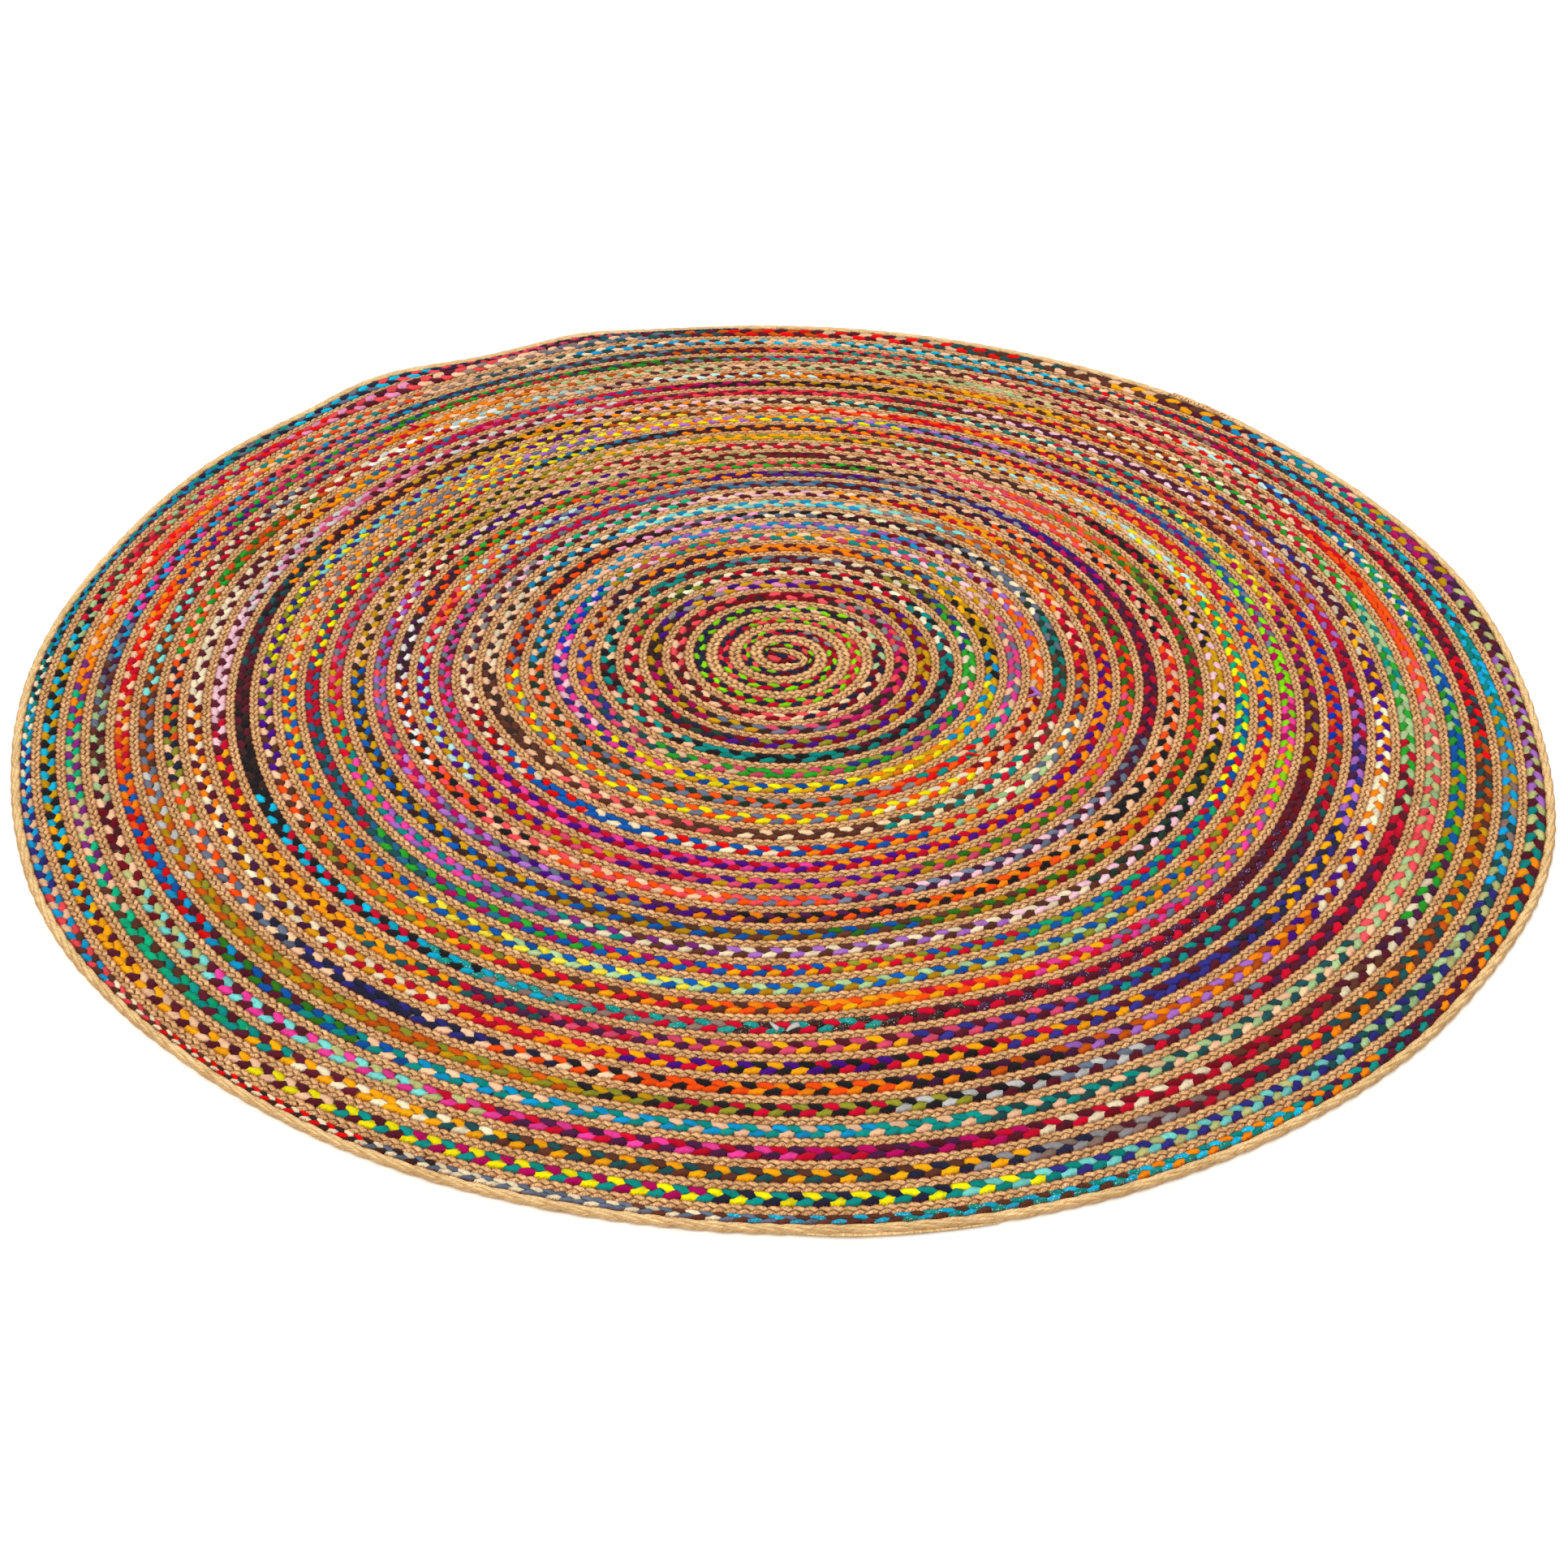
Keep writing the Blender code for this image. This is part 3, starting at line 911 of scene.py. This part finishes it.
# The rim: a plait stood on its edge, three strands laid round one another.
def edgeBraid():
    rng = np.random.default_rng(edge["seed"])
    around = fullTurn * spiral["rimRadius"]
    periods = round(around / edge["period"])
    count = periods * edge["steps"]
    share = np.arange(count + 1) / count
    angle = math.radians(edge["jointDegrees"]) - fullTurn * share * (1.0 - edge["jointGap"])
    degrees = np.degrees(angle)
    past = (edge["jointDegrees"] - degrees) % 360.0
    centre = rimInner(degrees) + spiral["edgeWidth"] / 2.0
    centre = centre + edge["jointStep"] * bell(past, edge["jointSpread"])
    sides = np.arange(edge["sides"])
    turned = fullTurn * sides / edge["sides"]
    # These values also set the painted shade round each edge strand: darker where they are low.
    ridges = 0.5 + 0.5 * np.cos(2.0 * turned)
    rings, colours, grains = [], [], []
    for strand in range(3):
        phase = fullTurn * share * periods + strand * fullTurn / 3.0
        for wave in edge["waves"]:
            phase = phase + wave["size"] * np.sin(fullTurn * share * wave["round"] + wave["start"])
        fat = 1.0 + edge["fatWave"] * np.sin(phase * edge["fatWaves"] + strand)
        fat = fat + edge["fatNoise"] * rng.standard_normal(len(share))
        wide = (fat * edge["strandWide"] / 2.0)[:, None] * np.cos(turned)
        thick = (fat * edge["strandThick"] / 2.0)[:, None] * np.sin(turned)
        radius = (centre + edge["lean"] * np.cos(phase))[:, None] + wide
        height = (edge["midHeight"] + edge["rise"] * np.sin(phase))[:, None] + thick
        x, y = radius * np.cos(angle)[:, None], radius * np.sin(angle)[:, None]
        rings.append(np.stack([x, y, np.maximum(height, edge["lowest"])], axis=-1)[:, ::-1])
        colours.append(np.ones((len(share), edge["sides"], 4)))
        lay = strandLay(share * around, ridges, strand)
        lay[:, :, 2] += edge["grainRound"] * ((sides[::-1] + 2) % edge["sides"])
        grains.append(lay)
    material = juteMaterial("edge_fibre", dict(juteLook, **edgeLook))
    return meshFromRings("edge_plait", rings, colours, grains, material)


stitches = {
    "seed": 31,
    "apart": 0.0034,
    "placeNoise": 0.15,
    "reach": 0.0032,             # to either side of the seam
    "reachNoise": 0.12,
    "thick": 0.0006,
    "height": 0.0082,
    "heightNoise": 0.00025,
    "endDip": 0.0006,
    "middleDip": 0.0005,
    "lastTurn": 31.6,
}


def leftOf(run):
    return np.stack([-run[:, 1], run[:, 0]], axis=1)


# The four corners of each stroke of thread: its two ends, and its middle a little to either side.
def strokeCorners(near, far, sideways, ends, middle):
    centre = (near + far) / 2.0
    flat = np.stack([near, far, centre + sideways, centre - sideways], axis=1)
    heights = np.stack([ends, ends, middle, middle], axis=1)
    return np.concatenate([flat, heights[:, :, None]], axis=2)


def strokeMesh(name, corners, material):
    count = len(corners)
    base = np.arange(count)[:, None] * 4
    slivers = np.array([[0, 2, 3], [1, 3, 2], [0, 1, 2], [0, 3, 1]])
    faces = (base[:, None, :] + slivers[None, :, :]).reshape(-1, 3)
    return buildMesh(name, corners.reshape(-1, 3), faces, np.ones((count * 4, 4)), None, material)


# The zigzag that sews each seam: slanted stitches, one after another, over both braids' edges.
def seamStitches(band, seam, firstTurn, lastTurn, rng):
    apart = stitches["apart"]
    first, last = np.interp([firstTurn, lastTurn], band["turns"], band["along"])
    at = np.arange(first, last, apart)
    at = at + rng.normal(0.0, stitches["placeNoise"], len(at)) * apart
    width = np.interp(at, band["along"], band["width"])
    lean = np.where(np.arange(len(at)) % 2, 1.0, -1.0) * apart / 2.0
    reach = stitches["reach"] * (1.0 + rng.normal(0.0, stitches["reachNoise"], len(at)))
    height = stitches["height"] + rng.normal(0.0, stitches["heightNoise"], len(at))
    near = onBand(band, at - lean, seam - reach / width)
    far = onBand(band, at + lean, seam + reach / width)
    run = (far - near) / np.linalg.norm(far - near, axis=1)[:, None]
    return strokeCorners(near, far, leftOf(run) * stitches["thick"] / 2.0,
                         height - stitches["endDip"], height - stitches["middleDip"])


def sewingThread(band):
    rng = np.random.default_rng(stitches["seed"])
    material = threadMaterial(threadLook)
    made = []
    for n, (first, last) in pieceTurns():
        last = min(last, stitches["lastTurn"])
        strokes = [seamStitches(band, seam, first, last, rng) for seam in (0.0, 1.0)]
        made.append(strokeMesh(f"seam_stitches_{n}", np.concatenate(strokes), material))
    return made


# Ends of cloth that stand out of the plait: the cloth, the turn, where across the band it leaves
# and ends (0 is the inner seam, 1 the outer one), how far forward it runs and how wide, in mm.
clothTails = (
    ("red", 9.117, 0.6, 1.35, -9, 6),
    ("lilac", 10.03, 0.3, 0.9, 17, 9),
    ("lilac", 10.035, 0.6, 0.1, 14, 8),
    ("white", 15.436, 0.4, 0.8, 12, 7),
    ("teal", 18.464, 0.5, 1.2, 10, 6),
    ("crimson", 19.772, 0.6, 1.5, 12, 6),
    ("ash", 22.244, 0.4, 0.9, 14, 9),
    ("ash", 22.249, 0.7, 0.2, 10, 7),
    ("crimson", 26.628, 0.5, 1.4, -12, 6),
    ("maroon", 27.944, 0.4, -0.4, 12, 6),
    ("crimson", 27.761, 0.4, -0.5, 9, 5),
    ("magenta", 28.844, 0.5, 1.2, 12, 7),
    ("red", 29.883, 0.6, 1.6, 14, 6),
)
tailShape = {
    "steps": 7,
    "lowest": 0.0071,
    "arch": 0.0026,
    "archSpan": (0.15, 0.75),    # the share of a whole arch that shows
    "swerve": 1.5,
    "thick": 0.0022,
    "narrowing": 0.7,
    "section": ((-1.0, -0.3), (-0.45, 0.5), (0.45, 0.5), (1.0, -0.3)),
}


# A flat tapering end that follows some places on the floor, at some heights.
def taperedEnd(places, heights, wide):
    along = np.linspace(0.0, 1.0, len(places))
    run = np.gradient(places, axis=0)
    sideways = leftOf(run / np.linalg.norm(run, axis=1)[:, None])
    half = wide * mm / 2.0 * (1.0 - tailShape["narrowing"] * along ** 2)
    thick = tailShape["thick"] * (1.0 - 0.5 * along)
    rings = []
    for across, up in tailShape["section"][::-1]:
        flat = places + sideways * (across * half)[:, None]
        rings.append(np.concatenate([flat, (heights + up * thick)[:, None]], axis=1))
    return np.stack(rings, axis=1)


def looseCloth(band):
    rings, colours, grains = [], [], []
    for cloth, turn, leaves, ends, forward, wide in clothTails:
        share = np.linspace(0.0, 1.0, tailShape["steps"])
        along = np.interp(turn, band["turns"], band["along"]) + forward * mm * share
        across = leaves + (ends - leaves) * share ** tailShape["swerve"]
        start, end = tailShape["archSpan"]
        arch = np.sin(math.pi * (start + (end - start) * share))
        heights = tailShape["lowest"] + tailShape["arch"] * arch
        rings.append(taperedEnd(onBand(band, along, across), heights, wide))
        tint = np.ones((len(share), 4, 4))
        tint[:, :, :3] = linearColour(ragColours[cloth])
        tint[:, :, 3] = 0.0
        colours.append(tint)
        grains.append(strandLay(along, (0.4, 1.0, 1.0, 0.4), 1.0))
    return meshFromRings("cloth_tails", rings, colours, grains, bpy.data.materials["rag_cotton"])


# Two ends of the edge braid, a thin one that runs out along the rim and a dark tip at the joint:
# where each starts and ends in degrees, how far out it goes, its width in mm and its shade.
edgeTails = (
    (268.0, 283.2, 0.0062, 6.5, 0.95),
    (45.0, 51.8, 0.0035, 7.0, 0.35),
)
edgeTailShape = {
    "steps": 14,
    "height": 0.0050,
    "drop": 0.0018,
}


def looseEdge():
    rings, colours, grains = [], [], []
    for start, end, beyond, wide, tipShade in edgeTails:
        share = np.linspace(0.0, 1.0, edgeTailShape["steps"])
        degrees = start + (end - start) * share
        radius = rimInner(degrees) + spiral["edgeWidth"] / 2.0 + beyond * eased(share, 0.0, 0.5)
        angle = np.radians(degrees)
        places = onCircle(angle, radius)
        heights = edgeTailShape["height"] - edgeTailShape["drop"] * share
        rings.append(taperedEnd(places, heights, wide))
        tint = np.ones((len(share), 4, 4))
        tint[:, :, :3] = 1.0 - (1.0 - tipShade) * eased(share, 0.5, 1.0)[:, None, None]
        colours.append(tint)
        grains.append(strandLay(radius * angle, (0.5, 1.0, 1.0, 0.5), 2.0))
    return meshFromRings("edge_tails", rings, colours, grains, bpy.data.materials["edge_fibre"])


jointSewing = {
    "seed": 13,
    "fromDegrees": 44.0,
    "toDegrees": 51.0,
    "degreesNoise": 0.08,
    "count": 34,
    "reach": 0.0042,
    "within": (0.25, 0.75),      # shares of the braid's width
    "slant": (-0.5, 0.5),
    "height": 0.0092,
    "endDip": 0.0012,
}


# The edge braid's joint, sewn over and over with the same red thread.
def oversewing():
    rng = np.random.default_rng(jointSewing["seed"])
    count = jointSewing["count"]
    degrees = np.linspace(jointSewing["fromDegrees"], jointSewing["toDegrees"], count)
    degrees = degrees + rng.normal(0.0, jointSewing["degreesNoise"], count)
    middle = rimInner(degrees) + spiral["edgeWidth"] * rng.uniform(*jointSewing["within"], count)
    angle = np.radians(degrees)
    outward = onCircle(angle, 1.0)
    run = outward + leftOf(outward) * rng.uniform(*jointSewing["slant"], count)[:, None]
    centre = outward * middle[:, None]
    reach = run * jointSewing["reach"]
    high = np.full(count, jointSewing["height"])
    corners = strokeCorners(centre - reach, centre + reach, leftOf(run) * stitches["thick"],
                            high - jointSewing["endDip"], high)
    return strokeMesh("joint_sewing", corners, bpy.data.materials["red_thread"])


view = {
    "location": (0.00415853, -2.32890256, 1.62647491),
    "aim": (0.00415853, -0.28184, 0.007),
    "rollDegrees": 1.284,
    "lens": 47.818,
    "sensor": 36.0,
}


def makeCamera():
    data = bpy.data.cameras.new("camera")
    data.sensor_width = view["sensor"]
    data.lens = view["lens"]
    camera = place("camera", data)
    location, aim = Vector(view["location"]), Vector(view["aim"])
    facing = (aim - location).to_track_quat("-Z", "Y").to_matrix().to_4x4()
    roll = Matrix.Rotation(math.radians(view["rollDegrees"]), 4, "Z")
    camera.matrix_world = Matrix.Translation(location) @ facing @ roll
    bpy.context.scene.camera = camera


studio = {
    "floorSize": 12.0,
    "floorColour": (0.93, 0.93, 0.925),
    "patchShade": 0.995,
    "patchScale": 3.0,
    "patchSpan": (0.3, 0.7),
    "floorRoughness": 0.9,
    "skyStrength": 0.66,
    "sunStrength": 1.8,
    "sunSoftness": 45.0,         # degrees
    "sunPlace": (-0.9, -1.2, 3.2),
}


def makeStudio():
    size = studio["floorSize"] / 2.0
    mesh = bpy.data.meshes.new("floor")
    corners = [(-size, -size, 0.0), (size, -size, 0.0), (size, size, 0.0), (-size, size, 0.0)]
    mesh.from_pydata(corners, [], [(0, 1, 2, 3)])
    material, nodes, links, shader = newMaterial("studio_floor", studio["floorRoughness"])
    faint = addNoise(nodes, links, addCoords(nodes), studio["patchScale"], detail=1.0)
    patches = [part * studio["patchShade"] for part in studio["floorColour"]]
    colour = addRamp(nodes, links, faint, studio["patchSpan"], (patches, studio["floorColour"]))
    links.new(colour, shader.inputs["Base Color"])
    mesh.materials.append(material)
    floor = place("studio_floor", mesh)
    world = bpy.data.worlds.new("studio")
    world.use_nodes = True
    sky = world.node_tree.nodes["Background"]
    sky.inputs["Color"].default_value = (*white, 1.0)
    sky.inputs["Strength"].default_value = studio["skyStrength"]
    bpy.context.scene.world = world
    light = bpy.data.lights.new("soft_sun", "SUN")
    light.energy = studio["sunStrength"]
    light.angle = math.radians(studio["sunSoftness"])
    lamp = place("soft_sun", light)
    lamp.location = studio["sunPlace"]
    lamp.rotation_mode = "QUATERNION"
    lamp.rotation_quaternion = (-Vector(studio["sunPlace"])).to_track_quat("-Z", "Y")
    bpy.context.scene.view_settings.view_transform = "Standard"


makeCamera()
makeStudio()
print("camera and studio")

juteStrip = juteBand()
ragStrip = ragBand()
print("spiral laid out")

for piece in juteBraid(juteStrip):
    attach(piece, "root")
    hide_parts("jute_braid")
print("jute braid")

for piece in ragBraid(ragStrip):
    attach(piece, "root")
    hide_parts("cotton_braid")
print("rag braid")

edgePiece = edgeBraid()
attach(edgePiece, "root")
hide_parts("border_braid")
print("edge braid")

for piece in sewingThread(ragStrip) + [oversewing()]:
    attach(piece, "root")
print("sewing thread")

for piece, slot in ((looseCloth(ragStrip), "cotton_rag"), (looseEdge(), "jute_edge")):
    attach(piece, "root")
print("loose ends")
